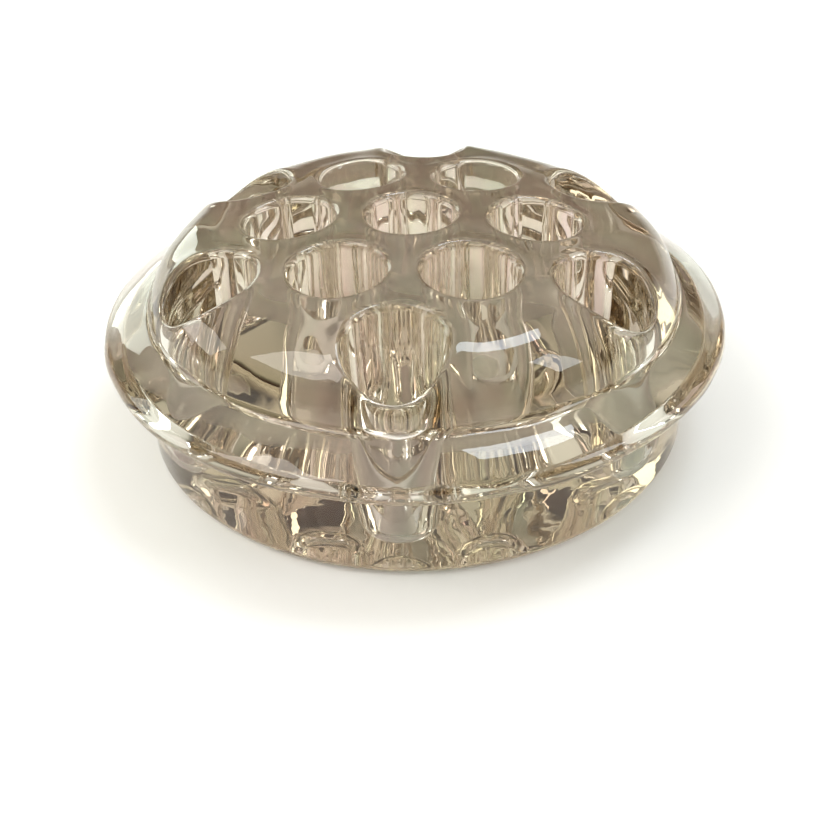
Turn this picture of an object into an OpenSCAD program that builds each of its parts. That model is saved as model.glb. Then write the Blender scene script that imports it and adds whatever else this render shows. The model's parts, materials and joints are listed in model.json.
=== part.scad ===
// Flower frog: one block of pressed glass with stem wells in a domed top.
// Millimetres, +Z up. The origin is at the centre of the underside, on the
// plane that the frog rests on. One outer well lies on the -Y side.

/* [Block] */
// Diameter over the rim
rim_d = 114; // [112:0.5:120]
// Height of the crown above the table
height = 40.5; // [39.5:0.5:43]
// Diameter of the dome at its steepest
dome_d = 96.8; // [96:0.2:98]
// Radius of the domed shoulder
shoulder_r = 13; // [12:0.5:14]
// Radius of the nearly flat crown
crown_r = 240; // [200:10:300]

/* [Rim] */
// Height of the widest line of the rim
rim_z = 21.3; // [20:0.1:22]
// Radius of the rim's rounded nose
nose_r = 2.3; // [1.5:0.1:3]
// Radius of the brim's gently arched top
brim_r = 18; // [14:1:24]
// Slope at which the nose meets the brim, up from the outward direction
nose_angle = 54; // [45:1:60]
// Radius of the hollow corner between brim and dome
corner_r = 2; // [1:0.5:3]

/* [Foot] */
// Diameter of the foot near the table
foot_d = 101.8; // [100:0.2:102.4]
// Diameter of the foot where it meets the rim
foot_top_d = 102.6; // [102.4:0.2:104]
// Radius of the rounded edge round the flat underside
foot_edge_r = 2.5; // [1:0.5:5]

/* [Stem wells] */
// Diameter of each well
well_d = 16; // [14:0.5:16.5]
// Distance between neighbouring wells
well_pitch = 22.15; // [21.5:0.05:22.2]
// Glass under the middle well and the six around it
inner_floor = 6.5; // [5.5:0.1:8]
// Diameter at which those seven wells turn in to their floor
inner_tip_d = 10.8; // [10:0.2:12]
// Height over which they narrow
inner_taper_h = 11; // [8:0.5:12]
// Glass under the six outer wells
outer_floor = 2.5; // [2:0.1:5]
// Diameter at which the outer wells turn in to their floor
outer_tip_d = 12; // [10:0.2:13]
// Height over which they narrow
outer_taper_h = 12; // [8:0.5:13]
// Radius between a well's wall and its floor
tip_round_r = 4.4; // [2:0.1:4.6]

/* [Hidden] */
$fn = 128;

// Neighbouring arcs overlap by this much, so that they cross cleanly
overlap = 0.004;

rim_r = rim_d / 2;
dome_r = dome_d / 2;
well_r = well_d / 2;
nose_x = rim_r - nose_r;

// The shoulder circle meets the crown circle from inside, at blend_x
shoulder_x = dome_r - shoulder_r;
crown_z = height - crown_r;
shoulder_z = crown_z + sqrt(pow(crown_r - shoulder_r + overlap, 2) - pow(shoulder_x, 2));
blend_x = shoulder_x * crown_r / (crown_r - shoulder_r);

// The nose circle meets the brim circle from inside, at brim_end_x
brim_step = brim_r - nose_r + overlap;
brim_x = nose_x - brim_step * cos(nose_angle);
brim_z = rim_z - brim_step * sin(nose_angle);
brim_end_x = nose_x + nose_r * cos(nose_angle);

// The corner circle meets both the brim circle and the shoulder circle
brim_reach = brim_r + corner_r - overlap;
shoulder_reach = shoulder_r + corner_r - overlap;
span_x = shoulder_x - brim_x;
span_z = shoulder_z - brim_z;
span = norm([span_x, span_z]);
corner_turn = acos((brim_reach * brim_reach + span * span - shoulder_reach * shoulder_reach)
    / (2 * brim_reach * span));
brim_angle = atan2(span_z, span_x) - corner_turn;
corner_x = brim_x + brim_reach * cos(brim_angle);
corner_z = brim_z + brim_reach * sin(brim_angle);
join_angle = atan2(corner_z - shoulder_z, corner_x - shoulder_x);

// Ends of the corner's arc, just inside the brim and the shoulder
fillet_brim_r = brim_r - overlap / 2;
fillet_shoulder_r = shoulder_r - overlap / 2;

// Length by which solids run into or past each other
EPS = 0.01;

// Foot with a flat underside and a rounded edge
module foot_outline() {
    foot_r = foot_d / 2;
    translate([foot_r - foot_edge_r, foot_edge_r]) circle(r = foot_edge_r);
    polygon([
        [0, 0], [foot_r - foot_edge_r, 0], [foot_r - foot_edge_r, foot_edge_r],
        [foot_r, foot_edge_r], [foot_top_d / 2, rim_z], [0, rim_z]
    ]);
}

// Rounded nose, arched brim and the hollow corner at the base of the dome
module rim_outline() {
    translate([0, rim_z - nose_r]) square([nose_x, nose_r + EPS]);
    translate([nose_x, rim_z]) circle(r = nose_r);
    intersection() {
        translate([brim_x, brim_z]) circle(r = brim_r);
        translate([0, rim_z]) square([brim_end_x, brim_r]);
    }
    difference() {
        polygon([
            [brim_x + fillet_brim_r * cos(brim_angle), brim_z + fillet_brim_r * sin(brim_angle)],
            [
                shoulder_x + fillet_shoulder_r * cos(join_angle),
                shoulder_z + fillet_shoulder_r * sin(join_angle)
            ],
            [shoulder_x, rim_z]
        ]);
        translate([corner_x, corner_z]) circle(r = corner_r);
    }
}

// Nearly flat crown and round shoulder
module dome_outline() {
    translate([0, rim_z]) square([shoulder_x, shoulder_z - rim_z + EPS]);
    translate([shoulder_x, shoulder_z]) circle(r = shoulder_r);
    intersection() {
        translate([0, crown_z]) circle(r = crown_r);
        translate([0, rim_z]) square([blend_x, height]);
    }
}

// Straight bore that narrows downwards and rounds in to a small flat floor
module stem_well(floor_z, tip_r, taper_h) {
    tip_z = floor_z + tip_round_r;
    translate([0, 0, tip_z + taper_h]) cylinder(r = well_r, h = height);
    translate([0, 0, tip_z]) cylinder(r1 = tip_r, r2 = well_r, h = taper_h);
    translate([0, 0, tip_z]) rotate_extrude() {
        intersection() {
            translate([tip_r - tip_round_r, 0]) circle(r = tip_round_r);
            translate([0, -tip_round_r]) square([tip_r, tip_round_r]);
        }
        translate([0, -tip_round_r]) square([tip_r - tip_round_r, tip_round_r]);
    }
}

module inner_well() {
    stem_well(inner_floor, inner_tip_d / 2, inner_taper_h);
}

module outer_well() {
    stem_well(outer_floor, outer_tip_d / 2, outer_taper_h);
}

// One well in the middle, six around it, and six more beyond the gaps
module well_pattern() {
    inner_well();
    for (i = [0:5]) {
        rotate(60 * i)
            translate([well_pitch, 0, 0])
            inner_well();
        rotate(60 * i + 30)
            translate([well_pitch * sqrt(3), 0, 0])
            outer_well();
    }
}

module glass_body() {
    color([0.80, 0.79, 0.73, 0.45])
    difference() {
        rotate_extrude() {
            foot_outline();
            rim_outline();
            dome_outline();
        }
        well_pattern();
    }
}

glass_body();
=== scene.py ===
import bmesh
import bpy
import json
import math
import numpy as np
from mathutils import Matrix, Vector, noise
from mathutils.geometry import delaunay_2d_cdt


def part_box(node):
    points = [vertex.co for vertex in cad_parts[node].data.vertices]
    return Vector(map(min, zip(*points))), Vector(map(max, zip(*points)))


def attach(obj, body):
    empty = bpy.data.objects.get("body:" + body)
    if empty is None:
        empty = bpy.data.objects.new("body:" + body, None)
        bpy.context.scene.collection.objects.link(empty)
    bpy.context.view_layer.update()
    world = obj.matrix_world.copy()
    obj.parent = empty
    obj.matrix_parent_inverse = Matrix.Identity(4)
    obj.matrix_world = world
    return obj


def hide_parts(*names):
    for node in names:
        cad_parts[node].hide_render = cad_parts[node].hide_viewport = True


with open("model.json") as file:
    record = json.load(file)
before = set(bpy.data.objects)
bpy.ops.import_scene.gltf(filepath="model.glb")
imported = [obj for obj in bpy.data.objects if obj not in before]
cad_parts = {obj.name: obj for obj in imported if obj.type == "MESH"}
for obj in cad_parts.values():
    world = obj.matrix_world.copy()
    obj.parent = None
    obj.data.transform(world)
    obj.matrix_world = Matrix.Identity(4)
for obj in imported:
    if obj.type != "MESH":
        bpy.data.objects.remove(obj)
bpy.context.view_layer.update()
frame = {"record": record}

# ------------------------------------------------------------ sizes, in mm
MM = 0.001
box_low, box_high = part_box("glass_body")
RIM_R = (box_high[0] - box_low[0]) / 2 / MM
BORES = [m for m in frame["record"]["mounts"] if m["kind"] == "bore"]
WELL_R = BORES[0]["dims"]["r_mm"]
WELLS = [(m["pos_m"][0] / MM, m["pos_m"][1] / MM) for m in BORES]
OUTER_REACH = 30.0        # wells further out than this are the outer ones

CROWN_R = 240.0           # nearly flat crown
HEIGHT = box_high[2] / MM + WELL_R ** 2 / (2 * CROWN_R)     # the middle well cuts off the very top
DOME_R = 48.4
SHOULDER_R = 13.0
RIM_Z = 21.3              # widest line of the rim
NOSE_R = 2.3              # rounded nose of the rim
NOSE_TURN = math.radians(54)
BRIM_R = 18.0             # arched top of the brim
CORNER_R = 2.0            # hollow corner between brim and dome
FOOT_R = 50.9
FOOT_TOP_R = 51.3
FOOT_EDGE_R = 2.5
ARMPIT_R = 0.8            # hollow corner under the rim
LIP = 1.3                 # how far a well's rounded lip reaches down its wall
TIP_ROUND_R = 4.4         # between a well's wall and its floor
INNER_WELL = (6.5, 5.4, 11.0)     # floor height, tip radius, height of the taper
OUTER_WELL = (2.5, 6.0, 12.0)

# ------------------------------------------------------------ uneven surface, in mm
RIPPLE = ((18.0, 0.38), (8.0, 0.13))      # wavelength and height
RIPPLE_SEED = 1                 # without a seed, the ripple would differ from run to run
RIPPLE_FADE = (0.0, 5.0)        # heights on the block between which it grows to full size
COLLAR_H = 0.22                 # glass pushed up round each mouth
COLLAR_R = 9.3
COLLAR_WIDTH = 1.9
COLLAR_FADE = (20.0, 29.0)
RIBS = ((5, 0.030), (8, 0.022), (11, 0.014))    # ribs round a well, and their height
RIB_SHIFT = 1.7                 # sets each well's ribs apart from the last one's, radians
RIB_FADE_TOP = 4.0
RIB_FADE_TIP = 3.0

# ------------------------------------------------------------ fineness of the mesh
RING_N = 256              # points round the block
WELL_N = 96               # points round one well
LIP_ROWS = 6
BORE_ROWS = 12
TAPER_ROWS = 10
BALL_ROUNDS = 12          # rounds in which the size of a lip's ball settles

# Longest steps along an outline, mm
FOOT_EDGE_STEP = 0.3
ARMPIT_STEP = 0.2
NOSE_STEP = 0.35
BRIM_STEP = 0.6
CORNER_STEP = 0.35
TIP_STEP = 0.7
STRAIGHT_STEP = 2.0

# Spacing of the points on the underside and the dome, mm
UNDER_STEP = 2.4
UNDER_MARGIN = 1.4
GRID_STEP = 1.5
GRID_MARGIN = 1.2
GRID_GAP = 2.2            # between the grid and a lip
HALOS = ((0.7, 1), (1.5, 2))    # rows round a lip: distance from it, and 1 for every point
HALO_MARGIN = 0.8
HALO_GAP = 0.8            # share of that distance that other lips leave free
CROWDED = 0.495           # closest that two points come
WELD = 1e-7

# ------------------------------------------------------------ dome and rim
SHOULDER_X = DOME_R - SHOULDER_R
CROWN_Z = HEIGHT - CROWN_R
SHOULDER_Z = CROWN_Z + math.sqrt((CROWN_R - SHOULDER_R) ** 2 - SHOULDER_X ** 2)
BLEND_TURN = math.asin(SHOULDER_X / (CROWN_R - SHOULDER_R))
BLEND_S = CROWN_R * BLEND_TURN

NOSE_X = RIM_R - NOSE_R
BRIM_X = NOSE_X - (BRIM_R - NOSE_R) * math.cos(NOSE_TURN)
BRIM_Z = RIM_Z - (BRIM_R - NOSE_R) * math.sin(NOSE_TURN)


def corner_centre():
    """Centre of the arc that touches both the brim and the shoulder, and its direction."""
    brim_reach = BRIM_R + CORNER_R
    shoulder_reach = SHOULDER_R + CORNER_R
    dx, dz = SHOULDER_X - BRIM_X, SHOULDER_Z - BRIM_Z
    span = math.hypot(dx, dz)
    cosine = (brim_reach ** 2 + span ** 2 - shoulder_reach ** 2) / (2 * brim_reach * span)
    turn = math.atan2(dz, dx) - math.acos(cosine)
    return BRIM_X + brim_reach * math.cos(turn), BRIM_Z + brim_reach * math.sin(turn), turn


CORNER_X, CORNER_Z, BRIM_TURN = corner_centre()
JOIN_TURN = math.atan2(CORNER_Z - SHOULDER_Z, CORNER_X - SHOULDER_X)
DOME_END_S = BLEND_S + (math.pi / 2 - JOIN_TURN - BLEND_TURN) * SHOULDER_R


def dome_at(s):
    """Radius and height of the dome at arc length s from the crown."""
    turn = np.where(s <= BLEND_S, s / CROWN_R, BLEND_TURN + (s - BLEND_S) / SHOULDER_R)
    r = np.where(s <= BLEND_S, CROWN_R * np.sin(turn), SHOULDER_X + SHOULDER_R * np.sin(turn))
    z = np.where(s <= BLEND_S, CROWN_Z + CROWN_R * np.cos(turn),
                 SHOULDER_Z + SHOULDER_R * np.cos(turn))
    return r, z


def sunk_dome(r, depth):
    """Slope, height and arc length, at radius r, of the dome sunk by depth."""
    crown = np.arcsin(np.clip(r / (CROWN_R - depth), -1, 1))
    side = np.arcsin(np.clip((r - SHOULDER_X) / (SHOULDER_R - depth), -1, 1))
    on_crown = crown <= BLEND_TURN
    turn = np.where(on_crown, crown, side)
    z = np.where(on_crown, CROWN_Z + (CROWN_R - depth) * np.cos(turn),
                 SHOULDER_Z + (SHOULDER_R - depth) * np.cos(turn))
    s = np.where(on_crown, CROWN_R * turn, BLEND_S + (turn - BLEND_TURN) * SHOULDER_R)
    return turn, z, s


def arc(x, z, r, start, end, step):
    n = max(3, math.ceil(abs(end - start) * r / step))
    return [(x + r * math.cos(t), z + r * math.sin(t)) for t in np.linspace(start, end, n + 1)]


def between(p, q):
    """Points spaced along the straight line from p to q, without its ends."""
    n = max(1, math.ceil(math.dist(p, q) / STRAIGHT_STEP))
    return [(p[0] + (q[0] - p[0]) * i / n, p[1] + (q[1] - p[1]) * i / n) for i in range(1, n)]


def outline():
    """Half profile from the underside, round the foot and rim, to the dome."""
    right, full = math.pi / 2, math.pi
    under = RIM_Z - NOSE_R
    path = [(FOOT_R - 2 * FOOT_EDGE_R, 0.0)]
    for piece in (
        arc(FOOT_R - FOOT_EDGE_R, FOOT_EDGE_R, FOOT_EDGE_R, -right, 0, FOOT_EDGE_STEP),
        arc(FOOT_TOP_R + ARMPIT_R, under - ARMPIT_R, ARMPIT_R, full, right, ARMPIT_STEP),
        arc(NOSE_X, RIM_Z, NOSE_R, -right, NOSE_TURN, NOSE_STEP),
        arc(BRIM_X, BRIM_Z, BRIM_R, NOSE_TURN, BRIM_TURN, BRIM_STEP)[1:],
        arc(CORNER_X, CORNER_Z, CORNER_R, full + BRIM_TURN, full + JOIN_TURN, CORNER_STEP)[1:],
    ):
        path += between(path[-1], piece[0]) + piece
    return path


# ------------------------------------------------------------ mesh building
class Mesh:
    """Points and faces, gathered before Blender gets them."""

    def __init__(self):
        self.points = []
        self.faces = []

    def add(self, points):
        first = len(self.points)
        self.points.extend(tuple(map(float, p)) for p in points)
        return list(range(first, len(self.points)))

    def band(self, low, high):
        """Quads between two closed rings of the same length."""
        n = len(low)
        for i in range(n):
            j = (i + 1) % n
            self.faces.append((low[i], low[j], high[j], high[i]))

    def fan(self, ring, tip):
        n = len(ring)
        for i in range(n):
            self.faces.append((ring[i], ring[(i + 1) % n], tip))

    def fill(self, flat, ids, loops):
        """Triangles inside the first loop and outside the others, laid out flat."""
        edges = []
        owner = {}
        for k, loop in enumerate(loops):
            edges += [(loop[i], loop[(i + 1) % len(loop)]) for i in range(len(loop))]
            owner.update({i: k for i in loop if k})
        result = delaunay_2d_cdt([Vector(p) for p in flat], edges, [], 0, WELD)
        first = [origin[0] for origin in result[3]]
        for triangle in result[2]:
            corners = [first[i] for i in triangle]
            owners = {owner.get(i) for i in corners}
            if len(owners) == 1 and None not in owners:
                continue
            self.faces.append(tuple(ids[i] for i in corners))


def circle_points(n):
    t = np.arange(n) * 2 * math.pi / n
    return np.stack([np.cos(t), np.sin(t)], 1)


def ring_at(r, z, n, x=0.0, y=0.0):
    return np.column_stack([circle_points(n) * r + (x, y), np.broadcast_to(z, n)])


def hex_points(radius, step):
    """Triangular grid of points inside a circle."""
    row = step * math.sqrt(0.75)
    rows = int(radius / row) + 1
    half = int(radius / step) + 1
    points = [((i + 0.5 * (j % 2)) * step, j * row)
              for j in range(-rows, rows + 1) for i in range(-half, half + 1)]
    return np.array([p for p in points if math.hypot(*p) < radius])


def polar(points):
    """Direction and distance of points in a plane."""
    return np.arctan2(points[:, 1], points[:, 0]), np.linalg.norm(points, axis=1)


def smooth_step(low, high, v):
    u = min(1.0, max(0.0, (v - low) / (high - low)))
    return u * u * (3 - 2 * u)


# ------------------------------------------------------------ wells
def well_lip(x, y):
    """Rings over a well's rounded lip, from the dome to the bore, and where
    the first one lies on the dome laid out flat.

    The lip is the path of a ball that touches both the dome and the bore."""
    out = np.column_stack([circle_points(WELL_N), np.zeros(WELL_N)])
    ball = np.full(WELL_N, LIP)
    for _ in range(BALL_ROUNDS):
        centre = np.array([x, y, 0.0]) + out * (WELL_R + ball)[:, None]
        side, reach = polar(centre[:, :2])
        turn, centre[:, 2], s = sunk_dome(reach, ball)
        up = np.stack([np.sin(turn) * np.cos(side), np.sin(turn) * np.sin(side), np.cos(turn)], 1)
        sweep = np.arccos(np.clip(-(up * out).sum(1), -1, 1))
        ball = LIP / np.tan(sweep / 2)
    rings = []
    for j in range(LIP_ROWS + 1):
        u = j / LIP_ROWS
        on_ball = np.sin((1 - u) * sweep)[:, None] * up - np.sin(u * sweep)[:, None] * out
        rings.append(centre + (ball / np.sin(sweep))[:, None] * on_ball)
    return rings, np.stack([s * np.cos(side), s * np.sin(side)], 1)


def well_profile(x, y):
    """Height where the bore ends, then radius and height down to the floor."""
    outer = math.hypot(x, y) > OUTER_REACH
    floor_z, tip_r, taper_h = OUTER_WELL if outer else INNER_WELL
    tip_z = floor_z + TIP_ROUND_R
    path = []
    for i in range(1, TAPER_ROWS + 1):
        u = i / TAPER_ROWS
        eased = (u + smooth_step(0, 1, u)) / 2
        path.append((WELL_R + (tip_r - WELL_R) * eased, tip_z + taper_h * (1 - u)))
    path += arc(tip_r - TIP_ROUND_R, tip_z, TIP_ROUND_R, 0, -math.pi / 2, TIP_STEP)[1:]
    return tip_z + taper_h, path, floor_z


def ribbed(number, rings):
    """Faint upright ribs on the wall of a well, fading out at its lip and tip."""
    out = np.column_stack([circle_points(WELL_N), np.zeros(WELL_N)])
    angle = np.arange(WELL_N) * 2 * math.pi / WELL_N
    wave = sum(h * np.cos(n * angle + RIB_SHIFT * number * n) for n, h in RIBS)
    top = rings[0][:, 2].min()
    bottom = rings[-1][0, 2]
    result = []
    for ring in rings:
        z = ring[:, 2].mean()
        weight = smooth_step(0, RIB_FADE_TOP, top - z) * smooth_step(0, RIB_FADE_TIP, z - bottom)
        result.append(ring + out * (wave * weight)[:, None])
    return result


def add_well(mesh, number):
    """One well. Returns its top row, and where that lies on the dome laid out flat."""
    x, y = WELLS[number]
    lip, rim = well_lip(x, y)
    bore_end, profile, floor_z = well_profile(x, y)
    edge_z = lip[-1][:, 2]
    wall = [ring_at(WELL_R, edge_z + (bore_end - edge_z) * k / BORE_ROWS, WELL_N, x, y)
            for k in range(1, BORE_ROWS + 1)]
    wall += [ring_at(r, z, WELL_N, x, y) for r, z in profile]
    rows = [mesh.add(row) for row in lip + ribbed(number, wall)]
    for high, low in zip(rows, rows[1:]):
        mesh.band(high, low)
    mesh.fan(rows[-1], mesh.add([(x, y, floor_z)])[0])
    return rows[0], rim


# ------------------------------------------------------------ dome between the wells
def halo_points(rims, gap):
    """Rows of points round each lip, where other lips leave room."""
    rows = []
    for offset, skip in HALOS:
        for rim in rims:
            out = rim - rim.mean(0)
            out /= np.linalg.norm(out, axis=1)[:, None]
            points = (rim + out * offset)[::skip]
            inside = np.linalg.norm(points, axis=1) < DOME_END_S - HALO_MARGIN
            rows.append(points[(gap(points) > offset * HALO_GAP) & inside])
    return rows


def grid_points(rims, gap):
    """Grid over the dome, outside the lips and clear of them."""
    grid = hex_points(DOME_END_S - GRID_MARGIN, GRID_STEP)
    free = gap(grid) > GRID_GAP
    for rim in rims:
        middle = rim.mean(0)
        rim_angle, rim_reach = polar(rim - middle)
        order = np.argsort(rim_angle)
        angle, reach = polar(grid - middle)
        free &= reach > np.interp(angle, rim_angle[order], rim_reach[order], period=2 * math.pi)
    return grid[free]


def thinned(points):
    """The points without those that crowd an earlier one."""
    chosen = []
    cells = {}
    for p in points:
        i, j = int(p[0] // CROWDED), int(p[1] // CROWDED)
        near = [q for a in (-1, 0, 1) for b in (-1, 0, 1) for q in cells.get((i + a, j + b), [])]
        if all(math.dist(p, q) > CROWDED for q in near):
            cells.setdefault((i, j), []).append(p)
            chosen.append(p)
    return np.array(chosen)


def between_wells(rims):
    """Points for the dome, laid out flat, that keep clear of the lips."""
    edge = np.concatenate(rims)

    def gap(points):
        return np.linalg.norm(points[:, None] - edge[None], axis=2).min(1)

    return thinned(np.concatenate([*halo_points(rims, gap), grid_points(rims, gap)]))


# ------------------------------------------------------------ the whole block
def add_underside(mesh, ring, ring_r):
    middle = hex_points(ring_r - UNDER_MARGIN, UNDER_STEP)
    flat = [mesh.points[i][:2] for i in ring] + [tuple(p) for p in middle]
    ids = ring + mesh.add([(x, y, 0.0) for x, y in middle])
    mesh.fill(flat, ids, [list(range(RING_N))])


def add_top(mesh, ring):
    """Wells, and the dome that joins them to its lowest ring."""
    flat = [tuple(p) for p in circle_points(RING_N) * DOME_END_S]
    ids = list(ring)
    loops = [list(range(RING_N))]
    rims = []
    for number in range(len(WELLS)):
        top_row, rim = add_well(mesh, number)
        loops.append(list(range(len(flat), len(flat) + WELL_N)))
        flat += [tuple(p) for p in rim]
        ids += top_row
        rims.append(rim)
    spots = between_wells(rims)
    side, s = polar(spots)
    r, z = dome_at(s)
    ids += mesh.add(np.stack([r * np.cos(side), r * np.sin(side), z], 1))
    flat += [tuple(p) for p in spots]
    mesh.fill(flat, ids, loops)


def build_glass():
    mesh = Mesh()
    path = outline()
    rings = [mesh.add(ring_at(r, z, RING_N)) for r, z in path]
    for low, high in zip(rings, rings[1:]):
        mesh.band(low, high)
    add_underside(mesh, rings[0], path[0][0])
    add_top(mesh, rings[-1])
    return mesh


# ------------------------------------------------------------ uneven surface
def collar(x, y, z):
    """Shift, square to the dome, of the glass pushed up round the mouths."""
    rest = 1.0
    for wx, wy in WELLS:
        off = (math.hypot(x - wx, y - wy) - COLLAR_R) / COLLAR_WIDTH
        rest *= 1 - math.exp(-off * off)
    size = COLLAR_H * (1 - rest) * smooth_step(*COLLAR_FADE, z)
    r = math.hypot(x, y)
    out = Vector((0, 0, 1))
    if r > SHOULDER_X:
        lean = (r - SHOULDER_X) / r
        out = Vector((x * lean, y * lean, max(z - SHOULDER_Z, 0.0))).normalized()
    return out * size


def uneven(p):
    """A point moved by the slow ripple left by pressing, and by the collars."""
    ripple = Vector((0, 0, 0))
    for length, height in RIPPLE:
        ripple += noise.noise_vector(Vector(p) / length) * height
    return Vector(p) + ripple * smooth_step(*RIPPLE_FADE, p[2]) + collar(*p)


noise.seed_set(RIPPLE_SEED)
built = build_glass()
glass_mesh = bpy.data.meshes.new("glass_block")
glass_mesh.from_pydata([uneven(p) * MM for p in built.points], [], built.faces)
work = bmesh.new()
work.from_mesh(glass_mesh)
bmesh.ops.recalc_face_normals(work, faces=work.faces)
work.to_mesh(glass_mesh)
work.free()
glass_mesh.shade_smooth()
block = bpy.data.objects.new("glass_block", glass_mesh)
bpy.context.scene.collection.objects.link(block)

# ------------------------------------------------------------ glass
GLASS_IOR = 1.51
GLASS_BODY = (0.71, 0.635, 0.51)      # colour that the thickness of the glass gives
GLASS_DENSITY = 29.0                  # per metre
PINK = (0.96, 0.890, 0.885)
GREEN = (0.960, 0.990, 0.930)
TINT_SCALE = 38.0                     # blotches of tint, per metre
TINT_SPAN = (0.40, 0.60)              # noise that is fully pink, and fully green
SMUDGE_SCALE = 90.0
SMUDGE_SPAN = (0.5, 0.8)
SMUDGE = 0.02                         # roughest the polish gets
PIT_SCALE = 260.0                     # fine ripple too small to mesh
PIT_DEPTH = 0.00004
PIT_STRENGTH = 0.5

glass = bpy.data.materials.new("clear_glass")
glass.use_nodes = True
tree = glass.node_tree
shader = tree.nodes["Principled BSDF"]
shader.inputs["IOR"].default_value = GLASS_IOR
shader.inputs["Transmission Weight"].default_value = 1.0
place = tree.nodes.new("ShaderNodeTexCoord")


def cloud(scale, detail):
    node = tree.nodes.new("ShaderNodeTexNoise")
    node.inputs["Scale"].default_value = scale
    node.inputs["Detail"].default_value = detail
    tree.links.new(place.outputs["Object"], node.inputs["Vector"])
    return node.outputs["Fac"]


tint = tree.nodes.new("ShaderNodeValToRGB")
for end, position, color in zip(tint.color_ramp.elements, TINT_SPAN, (PINK, GREEN)):
    end.position, end.color = position, (*color, 1)
tree.links.new(cloud(TINT_SCALE, 1.0), tint.inputs["Fac"])
tree.links.new(tint.outputs["Color"], shader.inputs["Base Color"])

smudge = tree.nodes.new("ShaderNodeMapRange")
smudge.inputs["From Min"].default_value, smudge.inputs["From Max"].default_value = SMUDGE_SPAN
smudge.inputs["To Max"].default_value = SMUDGE
tree.links.new(cloud(SMUDGE_SCALE, 3.0), smudge.inputs["Value"])
tree.links.new(smudge.outputs["Result"], shader.inputs["Roughness"])

pits = tree.nodes.new("ShaderNodeBump")
pits.inputs["Distance"].default_value = PIT_DEPTH
pits.inputs["Strength"].default_value = PIT_STRENGTH
tree.links.new(cloud(PIT_SCALE, 1.0), pits.inputs["Height"])
tree.links.new(pits.outputs["Normal"], shader.inputs["Normal"])

absorb = tree.nodes.new("ShaderNodeVolumeAbsorption")
absorb.inputs["Color"].default_value = (*GLASS_BODY, 1)
absorb.inputs["Density"].default_value = GLASS_DENSITY
tree.links.new(absorb.outputs["Volume"], tree.nodes["Material Output"].inputs["Volume"])
glass_mesh.materials.append(glass)

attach(block, "root")
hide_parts("glass_body")

# ------------------------------------------------------------ floor
FLOOR_HALF = 3.0
FLOOR_Z = -0.0002
FLOOR_COLOR = (0.90, 0.885, 0.86)
FLOOR_ROUGHNESS = 0.7

floor_mesh = bpy.data.meshes.new("floor")
floor_mesh.from_pydata([(FLOOR_HALF * x, FLOOR_HALF * y, FLOOR_Z) for x, y in (
    (-1, -1), (1, -1), (1, 1), (-1, 1))], [], [(0, 1, 2, 3)])
floor = bpy.data.objects.new("floor", floor_mesh)
bpy.context.scene.collection.objects.link(floor)
paper = bpy.data.materials.new("floor")
paper.use_nodes = True
paper_shader = paper.node_tree.nodes["Principled BSDF"]
paper_shader.inputs["Base Color"].default_value = (*FLOOR_COLOR, 1)
paper_shader.inputs["Roughness"].default_value = FLOOR_ROUGHNESS
floor_mesh.materials.append(paper)

# ------------------------------------------------------------ sky
# Colour by height, from the horizon up: pale, then a dark band, then bright
SKY = ((0.0, (0.90, 0.88, 0.84)), (0.05, (0.55, 0.52, 0.48)), (0.11, (0.07, 0.05, 0.04)),
       (0.30, (0.15, 0.095, 0.08)), (0.47, (0.34, 0.35, 0.28)), (0.62, (1.02, 1.04, 0.95)),
       (1.0, (1.50, 1.48, 1.43)))
SKY_STRENGTH = 0.85

world = bpy.data.worlds.new("world")
bpy.context.scene.world = world
world.use_nodes = True
sky = world.node_tree
coords = sky.nodes.new("ShaderNodeTexCoord")
split = sky.nodes.new("ShaderNodeSeparateXYZ")
ramp = sky.nodes.new("ShaderNodeValToRGB")
backdrop = sky.nodes["Background"]
sky.links.new(coords.outputs["Generated"], split.inputs["Vector"])
sky.links.new(split.outputs["Z"], ramp.inputs["Fac"])
sky.links.new(ramp.outputs["Color"], backdrop.inputs["Color"])
backdrop.inputs["Strength"].default_value = SKY_STRENGTH
stops = ramp.color_ramp.elements
for stop, (position, color) in zip(stops, (SKY[0], SKY[-1])):
    stop.position, stop.color = position, (*color, 1)
for position, color in SKY[1:-1]:
    stops.new(position).color = (*color, 1)

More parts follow.
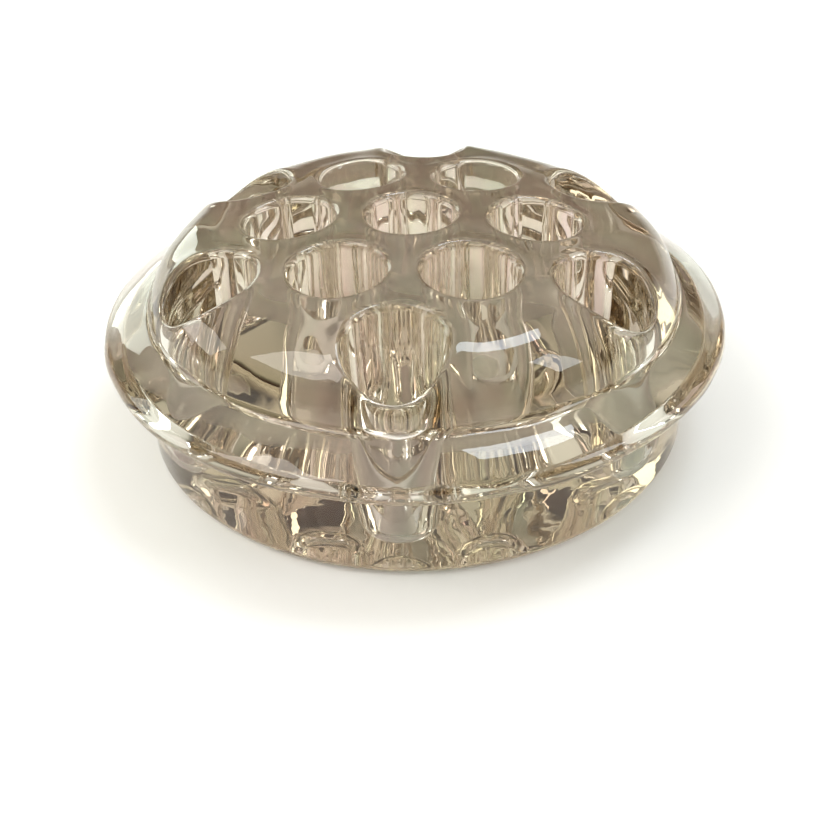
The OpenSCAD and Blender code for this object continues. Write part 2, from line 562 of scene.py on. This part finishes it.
# ------------------------------------------------------------ lights
# Name, place and size in metres, watts, colour
LIGHTS = (
    ("window", (0.24, 0.14, 0.86), (0.22, 0.30), 1.9, (0.80, 0.90, 1.0)),
    ("side_window", (0.70, -0.26, 0.55), (0.16, 0.40), 1.1, (0.85, 0.93, 1.0)),
    ("key", (-0.9, -0.5, 1.3), (0.8, 0.8), 9, (1.0, 0.97, 0.92)),
    ("back_left", (-0.55, 0.70, 0.28), (0.30, 0.40), 1.5, (0.93, 1.0, 0.90)),
    ("side_right", (0.95, 0.25, 0.32), (0.40, 0.35), 1.2, (1.0, 0.88, 0.86)),
    ("side_left", (-0.95, 0.15, 0.40), (0.40, 0.35), 1.4, (0.98, 1.0, 0.93)),
)


def area(name, place, size, power, color):
    """Soft rectangular light aimed at the block."""
    data = bpy.data.lights.new(name, "AREA")
    data.shape = "RECTANGLE"
    data.size, data.size_y = size
    data.energy = power
    data.color = color
    lamp = bpy.data.objects.new(name, data)
    lamp.location = place
    aim = Vector((0, 0, HEIGHT * MM / 2)) - Vector(place)
    lamp.rotation_euler = aim.to_track_quat("-Z", "Y").to_euler()
    bpy.context.scene.collection.objects.link(lamp)


for light in LIGHTS:
    area(*light)

# ------------------------------------------------------------ camera
ELEVATION, AZIMUTH, ROLL = (math.radians(v) for v in (33.07, 4.45, -1.733))
DISTANCE = 3.8898 * RIM_R * MM
AIM = Vector((0.0094, 0, 0.1196)) * RIM_R * MM
SENSOR = 36.0
FOCAL = 1.3713 * SENSOR
SHIFT = (-0.006, -0.0534)
CLIP_START = 0.01

back = Vector((math.sin(AZIMUTH) * math.cos(ELEVATION),
               -math.cos(AZIMUTH) * math.cos(ELEVATION), math.sin(ELEVATION)))
level = Vector((math.cos(AZIMUTH), math.sin(AZIMUTH), 0))
lift = level.cross(-back)
right = math.cos(ROLL) * level + math.sin(ROLL) * lift
top = math.cos(ROLL) * lift - math.sin(ROLL) * level
lens = bpy.data.cameras.new("camera")
lens.sensor_width = SENSOR
lens.lens = FOCAL
lens.shift_x, lens.shift_y = SHIFT
lens.clip_start = CLIP_START
camera = bpy.data.objects.new("camera", lens)
camera.matrix_world = (Matrix.Translation(AIM + back * DISTANCE)
                       @ Matrix((right, top, back)).transposed().to_4x4())
bpy.context.scene.collection.objects.link(camera)
bpy.context.scene.camera = camera

cycles = bpy.context.scene.cycles
cycles.max_bounces = 24
cycles.transmission_bounces = 24
cycles.glossy_bounces = 12
bpy.context.scene.view_settings.view_transform = "Standard"
